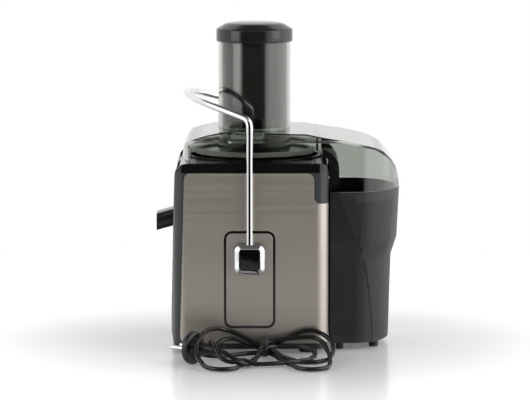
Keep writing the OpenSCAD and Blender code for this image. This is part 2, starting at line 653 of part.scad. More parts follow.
// Each level of the bin: its height, and how far its rear and its sides lie inside the rim's.
bin_steps = [[bin_z, 13, 4], [46, 12, 2.5], [bin_rim_z - 82.5, 10, 1.5], [bin_rim_z - 60.5, 3, 0.6],
  [bin_rim_z, 0, 0]];
module bin_level(k, t) {
  last = len(bin_steps) - 1;
  lift = (k == 0 ? t : 0) + (k == last && t > 0 ? 1 : 0) - (k == last ? eps : 0);
  translate([0, 0, bin_steps[k][0] + lift]) linear_extrude(eps)
    polygon(bin_plan(bin_reach - bin_steps[k][1], bin_half_w - bin_steps[k][2], t));
}
module bin_layers(t) {
  for (i = [0:len(bin_steps) - 2]) hull() {
    bin_level(i, t);
    bin_level(i + 1, t);
  }
}
module pulp_bin() placed() color("#3d4044") difference() {
  bin_layers(0);
  bin_layers(bin_wall);
}
module bin_feet() placed() color("#2b2d30") for (s = [-1, 1]) {
  translate([bin_front + 12.2, s * (bin_half_w - 15), 0]) cylinder(d = 9, h = bin_foot_h);
  translate([bin_reach - 32, s * (bin_half_w - 35), 0]) cylinder(d = 11, h = bin_foot_h);
}

// ---- Locking arm ----
loop_a = 0.62 * loop_r;     // the loop's rounded end is a half ellipse, this long ahead
loop_end = 244;             // and straight from here to the legs
loop_c = arm_x - loop_a * (1 + arm_half_w / loop_r * sin(loop_end)) / cos(loop_end);
function arm_z(x) = bend_z + arm_slope * (arm_x - x);
arm_leg_z0 = pivot_z + clamp_s / 2 - arm_stem;
arm_side = [loop_c + loop_a * cos(loop_end) - arm_x, loop_r * sin(loop_end) + arm_half_w];
arm_knee = arm_bend_r * arm_side / norm(arm_side);
function bend_point(u) = let (a = [arm_x, -arm_half_w, bend_z - arm_bend_r],
  b = [arm_x, -arm_half_w, bend_z], c = [arm_x + arm_knee[0], -arm_half_w + arm_knee[1],
  arm_z(arm_x + arm_knee[0])]) (1 - u) * (1 - u) * a + 2 * u * (1 - u) * b + u * u * c;
arm_half = concat([[arm_x, -arm_half_w, arm_leg_z0], [arm_x, -arm_half_w, pivot_z + clamp_s / 2 + 4]],
  [for (i = [0:8]) bend_point(i / 8)],
  [for (i = [0:11]) let (a = loop_end - (loop_end - 180) * i / 12, x = loop_c + loop_a * cos(a))
    [x, loop_r * sin(a), arm_z(x)]]);
arm_path = concat(arm_half, [[loop_c - loop_a, 0, arm_z(loop_c - loop_a)]],
  [for (i = [len(arm_half) - 1:-1:0]) [arm_half[i][0], -arm_half[i][1], arm_half[i][2]]]);
module locking_arm() placed() color("#c9cdd1") swept_tube(arm_path, rod_d / 2, 16, [1, 0, 0]);
module arm_clamp(side) color("#c9cdd1") difference() {
  along_y(side > 0 ? clamp_y : -clamp_y - clamp_t, side > 0 ? clamp_y + clamp_t : -clamp_y)
    polygon(rounded(arm_x - clamp_s / 2, pivot_z - clamp_s / 2, arm_x + clamp_s / 2,
      pivot_z + clamp_s / 2, clamp_r));
  translate([arm_x, side * arm_half_w, arm_leg_z0]) cylinder(d = rod_d, h = arm_stem + 1);
  rod_y(pin_d / 2, arm_x, pivot_z, side > 0 ? clamp_y - 1 : -clamp_y - 3,
    side > 0 ? clamp_y + 3 : 1 - clamp_y);
  along_y(side > 0 ? clamp_y + clamp_t - inlay_depth : -clamp_y - clamp_t - 1,
    side > 0 ? clamp_y + clamp_t + 1 : inlay_depth - clamp_y - clamp_t)
    polygon(rounded(arm_x - inlay_s / 2, pivot_z - inlay_s / 2, arm_x + inlay_s / 2,
      pivot_z + inlay_s / 2, 4));
}
module arm_clamp_near() placed() arm_clamp(-1);
module arm_clamp_far() placed() arm_clamp(1);
module clamp_inlay(side) color("#0c0c0d")
  along_y(side > 0 ? clamp_y + clamp_t - inlay_depth : -clamp_y - clamp_t + inlay_depth - inlay_t,
    side > 0 ? clamp_y + clamp_t - inlay_depth + inlay_t : inlay_depth - clamp_y - clamp_t)
    polygon(rounded(arm_x - inlay_s / 2, pivot_z - inlay_s / 2, arm_x + inlay_s / 2,
      pivot_z + inlay_s / 2, 4));
module clamp_inlay_near() placed() clamp_inlay(-1);
module clamp_inlay_far() placed() clamp_inlay(1);
pin_in = 14;                // how far the pivot pins reach into the housing
clip_y = half_w - 9.4;
module pivot_pin(side) color("#a9abae") difference() {
  rod_y(pin_d / 2, arm_x, pivot_z, side > 0 ? half_w - pin_in : -clamp_y - 3,
    side > 0 ? clamp_y + 3 : pin_in - half_w);
  clip_groove(side);
}
module clip_groove(side) {
  difference() {
    rod_y(pin_d, arm_x, pivot_z, side > 0 ? clip_y - 1.2 : -clip_y, side > 0 ? clip_y : 1.2 - clip_y);
    rod_y(pin_d / 2 - 1, arm_x, pivot_z, -half_w, half_w);
  }
}
module pivot_pin_near() placed() pivot_pin(-1);
module pivot_pin_far() placed() pivot_pin(1);
module pin_clips() placed() color("#3c3c3e") for (side = [-1, 1]) difference() {
  rod_y(pin_d / 2 + 2, arm_x, pivot_z, side > 0 ? clip_y - 1.2 : -clip_y,
    side > 0 ? clip_y : 1.2 - clip_y);
  rod_y(pin_d / 2 - 1, arm_x, pivot_z, -half_w, half_w);
}

// ---- Mains lead ----
relief_x = -77;
relief_z = 17;
relief_d = 11;
relief_neck_d = 9;
relief_tip_d = cord_d + 1.6;
relief_l = 24;
// From the strain relief to the hank, and from the hank to the plug.
lead_route = [[-77, -129, 17], [-77, -134, 16], [-75, -141, 14], [-70, -147, 11], [-63, -150, 8],
  [-55, -151, 6], [-47, -150, 5]];
tail_route = [[-41, -192, 19], [-34, -196, 17], [-27, -199, 13], [-20, -200, 9], [-12, -200, 5],
  [-4, -198, 4]];
plug_c = [-71, -173, 19];
plug_turn = 32;
plug_d = 38;
plug_t = 8;
plug_pin_d = 4.8;
plug_pin_l = 19;
pin_pitch = 19;
module strain_relief() placed() color("#1b1c1e") translate([relief_x, -half_w, relief_z])
  rotate([90, 0, 0]) {
    translate([0, 0, -housing_wall - 3]) cylinder(d = relief_neck_d, h = housing_wall + 3.2);
    cylinder(d = relief_d, h = 2.5);
    translate([0, 0, 2]) cylinder(d1 = relief_neck_d, d2 = relief_tip_d, h = relief_l - 2);
  }
module cord_lead() placed() color("#1b1c1e") swept_tube(lead_route, cord_d / 2, 8);
module cord_tail() placed() color("#1b1c1e") swept_tube(tail_route, cord_d / 2, 8);
module cord_hank() placed() color("#1b1c1e") intersection() {
  linear_extrude(40) union() {
    hull() {
      translate([10, -128]) circle(18, $fn = 32);
      translate([-38, -205]) circle(31, $fn = 32);
      translate([-36, -132]) circle(24, $fn = 32);
    }
    hull() {
      translate([18, -128]) circle(18, $fn = 32);
      translate([66, -234]) circle(30, $fn = 32);
      translate([68, -136]) circle(28, $fn = 32);
    }
  }
  along_x(-100, 120) polygon([[-half_w - 1, 17], [-half_w - 1, 36], [-265, 10], [-265, 0], [-190, 0]]);
}
module cord_tie() placed() color("#101113")
  translate([8, 0, 0]) along_x(0, 9) difference() {
    polygon(rounded(-149.2, 6, -half_w - 1.6, 38, 8));
    polygon(rounded(-148, 7.2, -half_w - 2.8, 36.8, 7));
  }
module on_plug() { translate(plug_c) rotate([0, 0, -plug_turn]) rotate([0, 90, 0]) children(); }
module plug_body() placed() color("#1b1c1e") on_plug() {
  translate([0, 0, -plug_t / 2]) cylinder(d = plug_d, h = plug_t);
  translate([0, 0, plug_t / 2 - 1]) cylinder(d1 = 26, d2 = 15, h = 12);
  translate([0, 0, plug_t / 2 + 10]) cylinder(d1 = 15, d2 = 9, h = 18);
}
module plug_pins() placed() color("#c9cbce") on_plug() for (s = [-1, 1])
  translate([0, s * pin_pitch / 2, -plug_t / 2 - plug_pin_l]) cylinder(d = plug_pin_d, h = plug_pin_l);

housing();
top_cover();
base_plate();
rubber_feet();
base_screws();
side_panel_near();
side_panel_far();
arm_plate_near();
arm_plate_far();
pivot_bush_near();
pivot_bush_far();
motor_stator();
motor_bracket_upper();
motor_bracket_lower();
motor_bushes();
motor_shaft();
armature();
commutator();
cooling_fan();
carbon_brushes();
drive_coupling();
shaft_seal();
interlock_switch();
interlock_plunger();
speed_switch();
rocker_frame();
rocker_button();
suppressor_board();
juice_bowl();
pulp_chute();
sieve_cone();
basket_rim();
grating_disc();
basket_hub();
lid();
lid_rib();
pusher_body();
pusher_cap();
pulp_bin();
bin_feet();
locking_arm();
arm_clamp_near();
arm_clamp_far();
clamp_inlay_near();
clamp_inlay_far();
pivot_pin_near();
pivot_pin_far();
pin_clips();
strain_relief();
cord_lead();
cord_hank();
cord_tie();
cord_tail();
plug_body();
plug_pins();
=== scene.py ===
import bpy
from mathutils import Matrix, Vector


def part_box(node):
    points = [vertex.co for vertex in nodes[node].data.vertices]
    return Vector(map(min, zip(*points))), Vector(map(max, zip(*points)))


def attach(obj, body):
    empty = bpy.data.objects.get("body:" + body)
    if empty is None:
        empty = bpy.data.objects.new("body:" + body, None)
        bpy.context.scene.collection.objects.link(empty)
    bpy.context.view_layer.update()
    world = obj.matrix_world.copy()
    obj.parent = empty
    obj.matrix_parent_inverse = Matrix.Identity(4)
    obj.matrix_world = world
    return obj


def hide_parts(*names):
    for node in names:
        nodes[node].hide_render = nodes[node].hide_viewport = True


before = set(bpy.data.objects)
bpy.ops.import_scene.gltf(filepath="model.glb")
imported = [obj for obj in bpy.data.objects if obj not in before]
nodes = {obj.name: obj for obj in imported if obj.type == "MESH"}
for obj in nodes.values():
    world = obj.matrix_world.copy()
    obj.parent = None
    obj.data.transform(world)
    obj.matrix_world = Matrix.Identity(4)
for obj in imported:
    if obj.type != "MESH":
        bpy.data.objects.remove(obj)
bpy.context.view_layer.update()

import math
import bmesh
import bpy
from mathutils import Matrix, Vector

mm = 0.001
scene = bpy.context.scene
capLow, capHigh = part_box("pusher_cap")
axisX = (capLow[0] + capHigh[0]) / 2  # the motor's axis, which most sizes below count from


def at(x, y, z):
    return Vector((axisX + x * mm, y * mm, z * mm))


# Camera, light tent and floor.
print("camera and light")
view = {"distance": 3.6, "height": 0.6, "side": 0.0127, "pitch": 6.8, "lens": 203.4}
camera = bpy.data.objects.new("camera", bpy.data.cameras.new("camera"))
scene.collection.objects.link(camera)
camera.location = (axisX + view["side"], -view["distance"], view["height"])
camera.rotation_euler = (math.radians(90 - view["pitch"]), 0, 0)
camera.data.sensor_width = 36
camera.data.lens = view["lens"]
camera.data.clip_end = 60
scene.camera = camera
scene.view_settings.view_transform = "Standard"

tent = {
    "white": 1.0, "dark": 0.006, "seen": 1.0, "rightGain": 1.7, "overhead": (0.72, 0.86),
    "leftEdge": (-44, -39), "rightEdge": (28, 44), "topEdge": (0.5, 0.8), "floor": (-0.35, -0.15),
}


def link(tree, a, b):
    tree.links.new(a, b)


def ramp(tree, value, low, high, outLow=0.0, outHigh=1.0):
    node = tree.nodes.new("ShaderNodeMapRange")
    node.interpolation_type = "SMOOTHSTEP"
    link(tree, value, node.inputs["Value"])
    node.inputs["From Min"].default_value = low
    node.inputs["From Max"].default_value = high
    node.inputs["To Min"].default_value = outLow
    node.inputs["To Max"].default_value = outHigh
    return node.outputs["Result"]


def maths(tree, kind, a, b=None):
    node = tree.nodes.new("ShaderNodeMath")
    node.operation = kind
    for socket, value in zip(node.inputs, (a, b)):
        if value is None:
            continue
        if isinstance(value, (int, float)):
            socket.default_value = value
        else:
            link(tree, value, socket)
    return node.outputs[0]


def makeTent():
    world = bpy.data.worlds.new("lightTent")
    scene.world = world
    world.use_nodes = True
    tree = world.node_tree
    tree.nodes.clear()
    place = tree.nodes.new("ShaderNodeTexCoord")
    split = tree.nodes.new("ShaderNodeSeparateXYZ")
    link(tree, place.outputs["Generated"], split.inputs[0])
    x, y, z = split.outputs
    turn = maths(tree, "ARCTAN2", x, maths(tree, "MULTIPLY", y, -1.0))
    angle = maths(tree, "MULTIPLY", turn, 180 / math.pi)
    left = ramp(tree, angle, *tent["leftEdge"])
    right = ramp(tree, angle, *tent["rightEdge"], 1.0, 0.0)
    top = ramp(tree, z, *tent["topEdge"], 1.0, 0.0)
    low = ramp(tree, z, *tent["floor"])
    front = maths(tree, "MULTIPLY", maths(tree, "MULTIPLY", left, right), maths(tree, "MULTIPLY", top, low))
    shade = maths(tree, "MAXIMUM", front, maths(tree, "MULTIPLY", ramp(tree, z, *tent["overhead"]), 0.8))
    glow = ramp(tree, shade, 0, 1, tent["white"], tent["dark"])
    band = maths(tree, "MULTIPLY", ramp(tree, angle, 30, 60), ramp(tree, angle, 105, 140, 1.0, 0.0))
    glow = maths(tree, "MULTIPLY", glow, ramp(tree, band, 0, 1, 1.0, tent["rightGain"]))
    paths = tree.nodes.new("ShaderNodeLightPath")
    level = tree.nodes.new("ShaderNodeMix")
    straight = maths(tree, "LESS_THAN", paths.outputs["Glossy Depth"], 0.5)
    through = maths(tree, "MULTIPLY", paths.outputs["Is Transmission Ray"], straight)
    direct = maths(tree, "MAXIMUM", paths.outputs["Is Camera Ray"], through)
    link(tree, direct, level.inputs[0])
    link(tree, glow, level.inputs[2])
    level.inputs[3].default_value = tent["seen"]
    back = tree.nodes.new("ShaderNodeBackground")
    back.inputs["Color"].default_value = (1, 1, 1, 1)
    link(tree, level.outputs[0], back.inputs["Strength"])
    out = tree.nodes.new("ShaderNodeOutputWorld")
    link(tree, back.outputs[0], out.inputs["Surface"])


def makeLight(name, place, target, size, power):
    data = bpy.data.lights.new(name, "AREA")
    data.shape = "RECTANGLE"
    data.size, data.size_y = size
    data.energy = power
    lamp = bpy.data.objects.new(name, data)
    scene.collection.objects.link(lamp)
    lamp.location = place
    lamp.rotation_euler = (Vector(target) - Vector(place)).to_track_quat("-Z", "Y").to_euler()


makeTent()
makeLight("leftCloth", (-1.6, -0.9, 0.7), (0, 0, 0.15), (0.9, 1.2), 5)
makeLight("rightCloth", (1.9, -0.7, 0.8), (0, 0, 0.15), (1.0, 1.2), 5)


# Building blocks.
squareCorners = ((-1, -1), (1, -1), (1, 1), (-1, 1))


def newObject(name, mesh, material, body, replaces=()):
    piece = bpy.data.objects.new(name, mesh)
    scene.collection.objects.link(piece)
    piece.data.materials.clear()
    if material:
        piece.data.materials.append(material)
    if body:
        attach(piece, body)
    if replaces:
        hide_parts(*replaces)
    return piece


def fromBmesh(name, bm, material, body, replaces=(), sharp=40):
    mesh = bpy.data.meshes.new(name)
    bm.to_mesh(mesh)
    bm.free()
    mesh.polygons.foreach_set("use_smooth", [True] * len(mesh.polygons))
    mesh.set_sharp_from_angle(angle=math.radians(sharp))
    return newObject(name, mesh, material, body, replaces)


def softenEdges(piece, width, segments=2, angle=35):
    bevel = piece.modifiers.new("softEdges", "BEVEL")
    bevel.width = width * mm
    bevel.segments = segments
    bevel.limit_method = "ANGLE"
    bevel.angle_limit = math.radians(angle)
    bevel.miter_outer = "MITER_ARC"
    weigh = piece.modifiers.new("evenShading", "WEIGHTED_NORMAL")
    weigh.mode = "FACE_AREA"
    weigh.weight = 100
    weigh.keep_sharp = True
    return piece


def dress(node, material):
    # A better material on a piece that stays as the frame has it.
    nodes[node].data.materials.clear()
    nodes[node].data.materials.append(material)


def cadCopy(node, name, material, body, width=0.5, segments=2, angle=35, shape=None):
    bm = bmesh.new()
    bm.from_mesh(nodes[node].data)
    bmesh.ops.remove_doubles(bm, verts=bm.verts, dist=2e-6)
    bmesh.ops.dissolve_limit(bm, angle_limit=math.radians(0.6), verts=bm.verts, edges=bm.edges)
    if shape:
        shape(bm)
    piece = fromBmesh(name, bm, material, body, (node,), sharp=30 if shape else 180)
    return softenEdges(piece, width, segments, angle)


def spinProfile(name, profile, material, body, replaces=(), centre=(0, 0), steps=96):
    bm = bmesh.new()
    verts = [bm.verts.new(at(centre[0] + r, centre[1], z)) for r, z in profile]
    edges = [bm.edges.new(pair) for pair in zip(verts, verts[1:])]
    bmesh.ops.spin(bm, geom=verts + edges, cent=at(centre[0], centre[1], 0), axis=(0, 0, 1),
                   angle=2 * math.pi, steps=steps, use_merge=True)
    bmesh.ops.remove_doubles(bm, verts=bm.verts, dist=1e-6)
    bmesh.ops.recalc_face_normals(bm, faces=bm.faces)
    return fromBmesh(name, bm, material, body, replaces)


def tubeAlong(name, points, radius, material, body, replaces=(), rings=8, sides=5):
    curve = bpy.data.curves.new(name, "CURVE")
    curve.dimensions = "3D"
    curve.bevel_depth = radius * mm
    curve.bevel_resolution = sides
    curve.use_fill_caps = True
    curve.resolution_u = rings
    spline = curve.splines.new("BEZIER")
    spline.bezier_points.add(len(points) - 1)
    for knot, point in zip(spline.bezier_points, points):
        knot.co = at(*point)
        knot.handle_left_type = knot.handle_right_type = "AUTO"
    return newObject(name, curve, material, body, replaces)


# Materials.
print("materials")


def makeGroup(name, inputs, outputs):
    group = bpy.data.node_groups.new(name, "ShaderNodeTree")
    for label, kind, value in inputs:
        socket = group.interface.new_socket(label, in_out="INPUT", socket_type=kind)
        if value is not None:
            socket.default_value = value
    for label, kind in outputs:
        group.interface.new_socket(label, in_out="OUTPUT", socket_type=kind)
    return group, group.nodes.new("NodeGroupInput"), group.nodes.new("NodeGroupOutput")


def noise(tree, vector, scale, detail=3.0, rough=0.55):
    node = tree.nodes.new("ShaderNodeTexNoise")
    if vector is not None:
        link(tree, vector, node.inputs["Vector"])
    if isinstance(scale, (int, float)):
        node.inputs["Scale"].default_value = scale
    else:
        link(tree, scale, node.inputs["Scale"])
    node.inputs["Detail"].default_value = detail
    node.inputs["Roughness"].default_value = rough
    return node.outputs["Fac"]


def stretched(tree, source, scale):
    node = tree.nodes.new("ShaderNodeMapping")
    link(tree, source, node.inputs["Vector"])
    node.inputs["Scale"].default_value = scale
    return node.outputs["Vector"]


def mixColour(tree, factor, a, b):
    node = tree.nodes.new("ShaderNodeMix")
    node.data_type = "RGBA"
    link(tree, factor, node.inputs[0])
    for socket, value in ((node.inputs[6], a), (node.inputs[7], b)):
        if isinstance(value, tuple):
            socket.default_value = (*value, 1.0)
        else:
            link(tree, value, socket)
    return node.outputs[2]


# Moulded grain: fine texture for bump, broad clouding for colour and gloss, and paler edges.
mouldGrain, grainIn, grainOut = makeGroup(
    "mouldGrain",
    (("Place", "NodeSocketVector", None), ("Grain", "NodeSocketFloat", 1800.0),
     ("Base", "NodeSocketColor", (0.1, 0.1, 0.1, 1)), ("Rough", "NodeSocketFloat", 0.4),
     ("Wear", "NodeSocketFloat", 0.15)),
    (("Colour", "NodeSocketColor"), ("Gloss", "NodeSocketFloat"), ("Height", "NodeSocketFloat")))
tree = mouldGrain
cloud = noise(tree, grainIn.outputs["Place"], 18.0, 4.0)
fine = noise(tree, grainIn.outputs["Place"], grainIn.outputs["Grain"], 2.0, 0.6)
bend = tree.nodes.new("ShaderNodeNewGeometry").outputs["Pointiness"]
edge = maths(tree, "MULTIPLY", ramp(tree, bend, 0.505, 0.56), grainIn.outputs["Wear"])
tone = ramp(tree, maths(tree, "ADD", maths(tree, "MULTIPLY", cloud, 0.7), maths(tree, "MULTIPLY", fine, 0.3)),
            0.3, 0.7, 0.86, 1.14)
toned = tree.nodes.new("ShaderNodeVectorMath")
toned.operation = "SCALE"
link(tree, grainIn.outputs["Base"], toned.inputs[0])
link(tree, tone, toned.inputs["Scale"])
worn = mixColour(tree, edge, toned.outputs[0], (0.32, 0.32, 0.33))
link(tree, worn, grainOut.inputs["Colour"])
dull = maths(tree, "MULTIPLY", maths(tree, "SUBTRACT", cloud, 0.5), 0.14)
link(tree, maths(tree, "ADD", grainIn.outputs["Rough"], dull), grainOut.inputs["Gloss"])
link(tree, fine, grainOut.inputs["Height"])

# Brushed lines that run along one direction, with faint longer streaks.
brushLines, brushIn, brushOut = makeGroup(
    "brushLines",
    (("Place", "NodeSocketVector", None), ("Base", "NodeSocketColor", (0.6, 0.6, 0.6, 1)),
     ("Shade", "NodeSocketColor", (0.5, 0.5, 0.5, 1)), ("Rough", "NodeSocketFloat", 0.3)),
    (("Colour", "NodeSocketColor"), ("Gloss", "NodeSocketFloat"), ("Height", "NodeSocketFloat")))
tree = brushLines
lines = noise(tree, stretched(tree, brushIn.outputs["Place"], (12, 900, 2600)), 1.0, 3.0, 0.7)
streaks = noise(tree, stretched(tree, brushIn.outputs["Place"], (3, 120, 260)), 1.0, 2.0)
both = maths(tree, "ADD", maths(tree, "MULTIPLY", lines, 0.6), maths(tree, "MULTIPLY", streaks, 0.4))
brushed = mixColour(tree, both, brushIn.outputs["Base"], brushIn.outputs["Shade"])
link(tree, brushed, brushOut.inputs["Colour"])
spread = maths(tree, "MULTIPLY", maths(tree, "SUBTRACT", both, 0.5), 0.3)
link(tree, maths(tree, "ADD", brushIn.outputs["Rough"], spread), brushOut.inputs["Gloss"])
link(tree, lines, brushOut.inputs["Height"])


def blankMaterial(name):
    material = bpy.data.materials.new(name)
    material.use_nodes = True
    tree = material.node_tree
    shader = tree.nodes["Principled BSDF"]
    place = tree.nodes.new("ShaderNodeTexCoord").outputs["Object"]
    return material, tree, shader, place


def useBump(tree, shader, height, strength, distance=0.0002):
    bump = tree.nodes.new("ShaderNodeBump")
    bump.inputs["Strength"].default_value = strength
    bump.inputs["Distance"].default_value = distance
    link(tree, height, bump.inputs["Height"])
    link(tree, bump.outputs["Normal"], shader.inputs["Normal"])


def grouped(name, group, values, bump=0.1, distance=0.0002, **sockets):
    material, tree, shader, place = blankMaterial(name)
    box = tree.nodes.new("ShaderNodeGroup")
    box.node_tree = group
    link(tree, place, box.inputs["Place"])
    for label, value in values.items():
        box.inputs[label].default_value = (*value, 1) if isinstance(value, tuple) else value
    link(tree, box.outputs["Colour"], shader.inputs["Base Color"])
    link(tree, box.outputs["Gloss"], shader.inputs["Roughness"])
    useBump(tree, shader, box.outputs["Height"], bump, distance)
    for label, value in sockets.items():
        shader.inputs[label.replace("_", " ")].default_value = value
    return material


def plastic(name, base, rough, grain=1800.0, wear=0.12, bump=0.12, **sockets):
    values = {"Base": base, "Rough": rough, "Grain": grain, "Wear": wear}
    return grouped(name, mouldGrain, values, bump, **sockets)


def metal(name, base, shade, rough, bump=0.08):
    values = {"Base": base, "Shade": shade, "Rough": rough}
    return grouped(name, brushLines, values, bump, 0.00005, Metallic=1.0)


graphite = plastic("graphitePlastic", (0.0125, 0.013, 0.014), 0.44)
charcoal = plastic("charcoalPlastic", (0.014, 0.0145, 0.0155), 0.5, 1500.0, 0.08)
blackGloss = plastic("blackGloss", (0.0045, 0.0045, 0.005), 0.12, 260.0, 0.01, 0.01)
bowlGrey = plastic("bowlGrey", (0.022, 0.023, 0.023), 0.24, 900.0, 0.03, 0.03)
capPlastic = plastic("capPlastic", (0.011, 0.0115, 0.012), 0.13, 300.0, 0.03, 0.01)
softRubber = plastic("softRubber", (0.018, 0.018, 0.018), 0.7, 1200.0, 0.05, 0.2)
cordSkin = plastic("cordSkin", (0.006, 0.006, 0.0065), 0.28, 900.0, 0.0, 0.05)
plugSkin = plastic("plugSkin", (0.009, 0.009, 0.0095), 0.34, 1400.0, 0.03, 0.1)
nylon = plastic("whiteNylon", (0.62, 0.61, 0.57), 0.45, 1400.0, 0.0, 0.08)
carbonBlock = plastic("carbonBlock", (0.02, 0.02, 0.021), 0.75, 700.0, 0.05, 0.3)
boardGreen = plastic("boardGreen", (0.03, 0.13, 0.06), 0.4, 600.0, 0.05, 0.1)
copper = metal("copperWinding", (0.62, 0.26, 0.12), (0.42, 0.16, 0.07), 0.35, 0.3)
steelSheet = metal("brushedSteel", (0.64, 0.595, 0.525), (0.53, 0.49, 0.43), 0.42)
steelSheet.node_tree.nodes["Principled BSDF"].inputs["Anisotropic"].default_value = 0.55
motorSteel = metal("motorSteel", (0.42, 0.43, 0.44), (0.30, 0.31, 0.32), 0.42, 0.2)
fineSteel = metal("fineSteel", (0.66, 0.67, 0.68), (0.5, 0.51, 0.52), 0.3)
castZinc = plastic("castZinc", (0.42, 0.42, 0.43), 0.55, 500.0, 0.1, 0.4, Metallic=0.8)


def makeChrome():
    material, tree, shader, place = blankMaterial("chromePlate")
    shader.inputs["Base Color"].default_value = (0.80, 0.81, 0.82, 1)
    shader.inputs["Metallic"].default_value = 1.0
    haze = noise(tree, place, 35.0, 3.0)
    link(tree, ramp(tree, haze, 0.3, 0.8, 0.02, 0.05), shader.inputs["Roughness"])
    useBump(tree, shader, noise(tree, place, 900.0, 2.0), 0.01, 0.00005)
    return material


def makeClear(name, tint, rough, weight):
    material, tree, shader, place = blankMaterial(name)
    haze = noise(tree, place, 22.0, 4.0)
    link(tree, mixColour(tree, haze, tint, tuple(c * 0.94 for c in tint)), shader.inputs["Base Color"])
    link(tree, ramp(tree, haze, 0.2, 0.8, rough, rough + 0.05), shader.inputs["Roughness"])
    shader.inputs["Transmission Weight"].default_value = weight
    shader.inputs["IOR"].default_value = 1.49
    useBump(tree, shader, noise(tree, place, 60.0, 2.0), 0.02, 0.0003)
    return material


chrome = makeChrome()
clearSmoke = makeClear("clearSmoke", (0.60, 0.625, 0.585), 0.02, 1.0)
pusherSmoke = makeClear("pusherSmoke", (0.085, 0.088, 0.082), 0.06, 0.0)
pusherSmoke.node_tree.nodes["Principled BSDF"].inputs["IOR"].default_value = 2.1


# Mains lead.
print("mains lead")
lead = {
    "diameter": 5.4, "step": 9, "rounds": 480, "bend": 19, "floor": 3.3, "wall": -109,
    "fromRelief": [(-77, -129, 17), (-77, -134, 16), (-75, -141, 14), (-70, -147, 11), (-63, -150, 8),
                   (-55, -151, 6), (-47, -150, 5)],
    "toPlug": [(-4, -198, 4), (-12, -200, 5), (-20, -200, 9), (-27, -199, 13), (-34, -196, 17),
               (-41, -192, 19)],
    # The bundle: figure-eight turns that cross in the tie, each turn a list round one end.
    "intoTie": [(-30, -140, 4), (-10, -127, 4)],
    "turns": [
        [(13, -121, 5), (34, -114, 18), (52, -112, 27), (68, -112, 30), (82, -113, 25), (92, -128, 18),
         (93, -147, 10), (87, -166, 4), (72, -184, 3), (52, -178, 3), (34, -150, 4)],
        [(13, -121, 10.5), (-4, -116, 18), (-22, -112, 26), (-40, -113, 32), (-53, -140, 35),
         (-60, -168, 34), (-67, -189, 25), (-65, -201, 12), (-56, -216, 4), (-42, -233, 3),
         (-25, -231, 3), (-7, -190, 3), (4, -150, 5)],
        [(13, -121, 16), (34, -119, 20), (54, -118, 22), (70, -119, 22), (81, -126, 18), (86, -144, 10),
         (88, -168, 9), (88, -195, 3), (83, -222, 3), (74, -252, 3), (63, -254, 3), (50, -220, 3),
         (34, -172, 3), (22, -138, 5)],
        [(13, -115, 7.5), (-5, -116, 12), (-22, -117, 20), (-36, -121, 20), (-45, -134, 15),
         (-50, -152, 11), (-51, -170, 26), (-47, -190, 27), (-38, -208, 9), (-24, -220, 3), (-10, -208, 3),
         (0, -178, 4), (8, -140, 9)],
    ],
    "outOfTie": [(13, -115, 13), (34, -122, 11), (54, -126, 13), (68, -136, 11), (72, -152, 7), (64, -170, 4),
                 (46, -185, 4), (24, -195, 4), (8, -198, 4)],
}


def bendRadius(a, b, c):
    x, y, z = (b - a).length, (c - b).length, (c - a).length
    half = (x + y + z) / 2
    area = math.sqrt(max(half * (half - x) * (half - y) * (half - z), 1e-9))
    return x * y * z / (4 * area)


def evenly(points, step):
    total = sum((b - a).length for a, b in zip(points, points[1:]))
    gap = total / round(total / step)
    out = [points[0].copy()]
    need = gap
    for a, b in zip(points, points[1:]):
        span = (b - a).length
        done = need
        while done <= span + 1e-6:
            out.append(a.lerp(b, done / span))
            done += gap
        need = done - span
    out[-1] = points[-1].copy()
    return out


def partStrands(route):
    # Strands that come too near one another are moved apart, mostly upward.
    close = lead["diameter"] + 0.2
    for i in range(2, len(route) - 2):
        for j in range(i + 3, len(route) - 2):
            apart = route[i] - route[j]
            if abs(apart.x) < close and abs(apart.y) < close and apart.length < close:
                push = (close - apart.length) * 0.25 / max(apart.length, 0.5)
                move = Vector((apart.x * 0.4, apart.y * 0.6, apart.z * 1.4)) * push
                route[i] += move
                route[j] -= move


def leadRoute():
    route = list(lead["fromRelief"]) + lead["intoTie"]
    for turn in lead["turns"]:
        route += turn
    route = evenly([Vector(point) for point in route + lead["outOfTie"] + lead["toPlug"]], lead["step"])
    for k in range(lead["rounds"]):
        if k % 4 == 0 and k < lead["rounds"] - 60:
            partStrands(route)
        for i in range(2, len(route) - 2):
            bend = bendRadius(*route[i - 1:i + 2])
            if bend < lead["bend"]:
                ease = min(0.5, 0.6 * (lead["bend"] / bend - 1))
                route[i] = route[i].lerp((route[i - 1] + route[i + 1]) / 2, ease)
            route[i].y = min(route[i].y, lead["wall"])
            route[i].z = max(route[i].z, lead["floor"])
    return route


def polyLength(points):
    return sum((b - a).length for a, b in zip(points, points[1:])) * mm


route = leadRoute()
mainsLead = tubeAlong("mainsLead", route, lead["diameter"] / 2, cordSkin, "base",
                      ("cord_lead", "cord_hank", "cord_tail"), rings=6, sides=4)

plug = {
    "centre": (-71, -173, 19), "turn": 32,
    "face": [(0, -4), (17.2, -4), (18.6, -3.2), (19, -2), (19, 2), (18.4, 3.4), (17, 4), (13, 4.2)],
    "neck": [(12.4, 6), (10.6, 10), (7.9, 14), (7.2, 16), (6.9, 18)],
    "ribs": [(6.2, 18.3), (6.2, 19.2), (6.6, 19.5), (6.4, 21.5), (5.7, 21.8), (5.7, 22.7), (6.1, 23),
             (5.9, 25), (5.2, 25.3), (5.2, 26.2), (5.6, 26.5), (5.2, 30), (4.4, 32), (0, 32)],
}
plugTurn = Matrix.Rotation(math.radians(-plug["turn"]), 4, "Z") @ Matrix.Rotation(math.radians(90), 4, "Y")
onPlug = Matrix.Translation(at(*plug["centre"])) @ plugTurn


